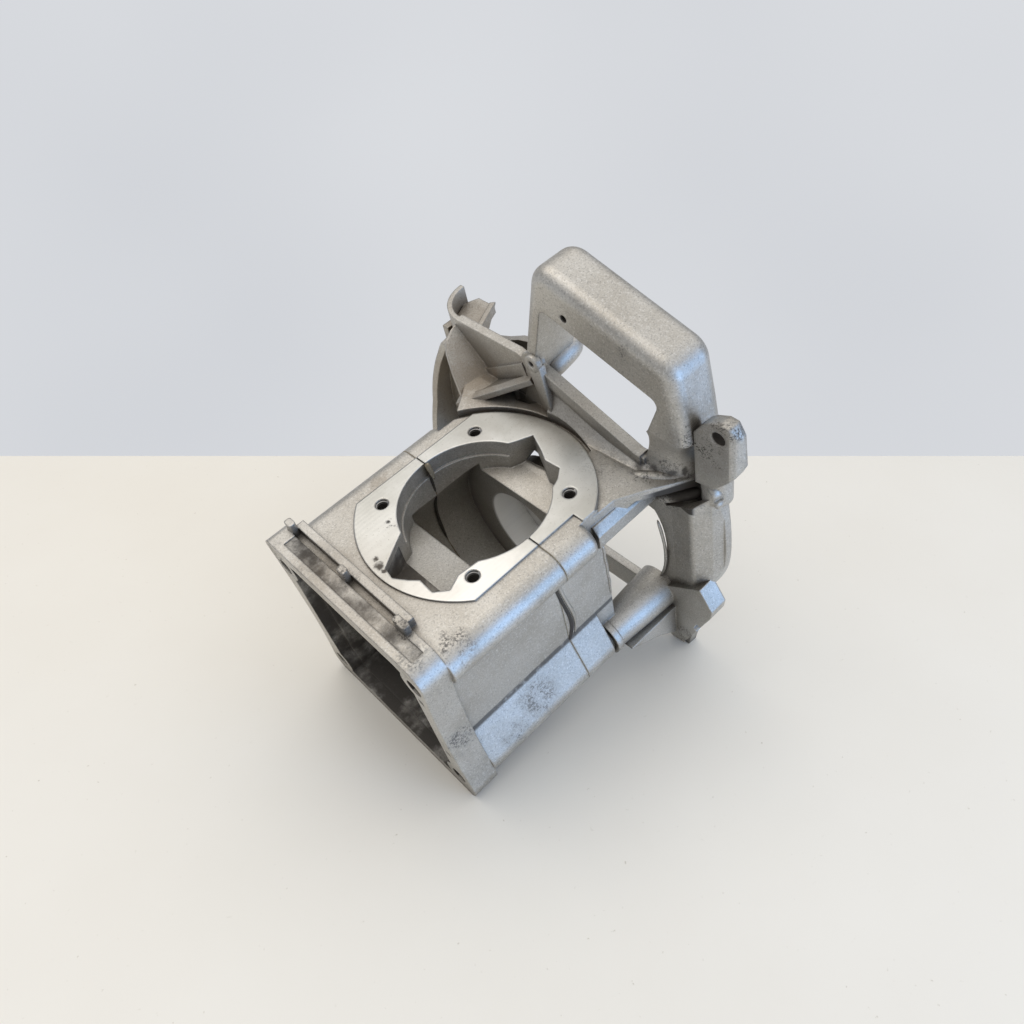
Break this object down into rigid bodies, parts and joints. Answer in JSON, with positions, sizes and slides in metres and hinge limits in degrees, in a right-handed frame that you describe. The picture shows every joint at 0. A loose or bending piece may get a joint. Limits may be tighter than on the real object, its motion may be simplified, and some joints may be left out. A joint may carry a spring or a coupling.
{
  "type": "engine crankcase",
  "caption": "Two-half light alloy crankcase with a square front flange, a round cylinder face, corner bolt tubes, an open fan frame and a carrying handle.",
  "frame": {"origin": "middle of the cylinder opening, on the machined face the cylinder stands on", "axes": "+Z along the cylinder axis, +X along the crankshaft from the flange to the fan end, +Y to the far side"},
  "size_m": [0.167, 0.191, 0.2163],
  "materials": {
    "front_casting": "as-cast, blasted, with machined faces",
    "rear_casting": "as-cast, blasted, with machined faces",
    "gasket": "matte paper",
    "sleeve": "bright steel"
  },
  "bodies": {
    "root": {"front_half": "front_casting", "rear_half": "rear_casting", "crankcase_gasket": "gasket", "near_locating_sleeve": "sleeve", "far_locating_sleeve": "sleeve"}
  },
  "joints": []
}
